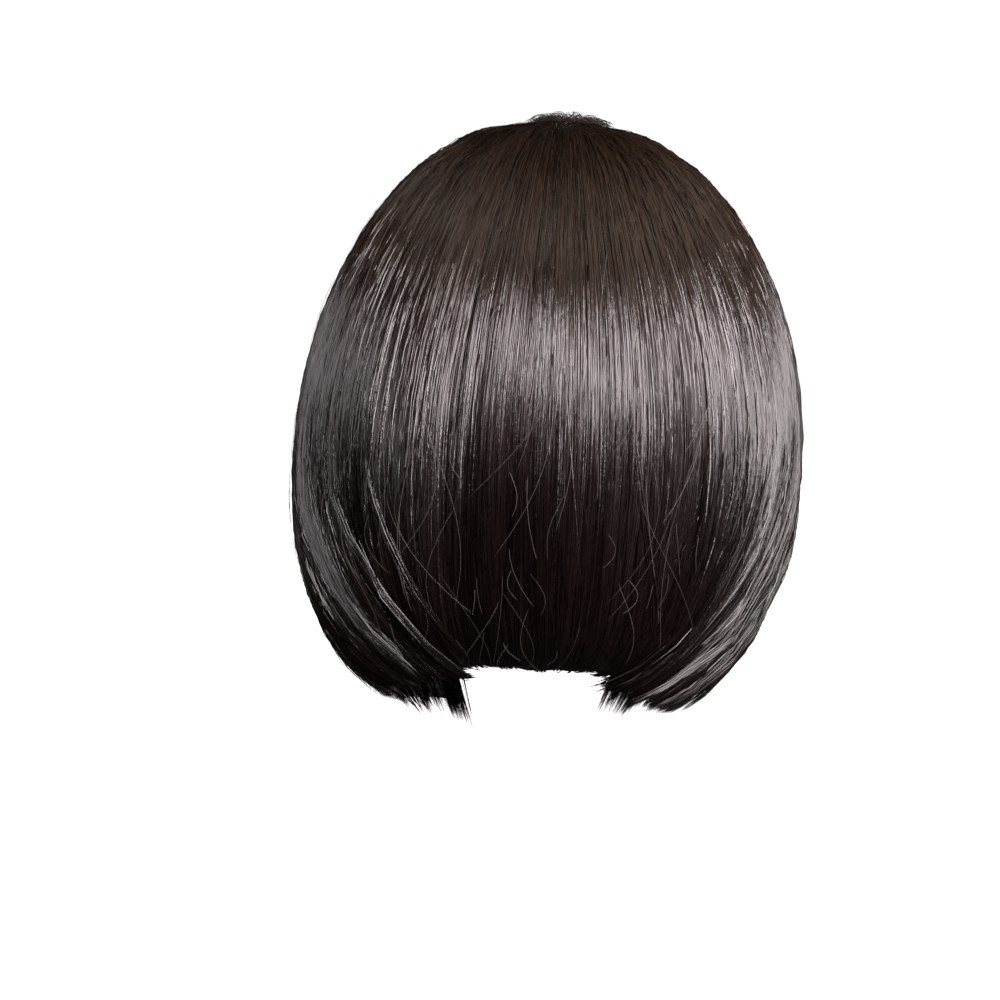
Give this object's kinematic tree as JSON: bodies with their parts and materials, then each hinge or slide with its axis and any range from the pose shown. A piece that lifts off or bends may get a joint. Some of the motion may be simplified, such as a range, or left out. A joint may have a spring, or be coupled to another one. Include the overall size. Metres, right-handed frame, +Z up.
{
  "type": "bob wig",
  "caption": "Dark straight bob wig with a full fringe: a stretch cap carrying thick locks that fall from the crown and tuck in, short at the nape and longer towards the face.",
  "frame": {"origin": "inside of the cap at the top of the crown, where the wig sits on the head", "axes": "+Z up through the crown, the wearer looks along -Y, +X is the wearer's left"},
  "size_m": [0.2297, 0.2331, 0.3085],
  "materials": {
    "cap_net": "matte",
    "hair": "satin",
    "under_hair": "matte"
  },
  "bodies": {
    "root": {"cap": "cap_net", "hair_back": "hair", "hair_side_left": "hair", "hair_side_right": "hair", "front_lock_left": "hair", "front_lock_right": "hair", "fringe": "hair", "nape_layer": "under_hair", "crown_tuft": "hair"}
  },
  "joints": []
}
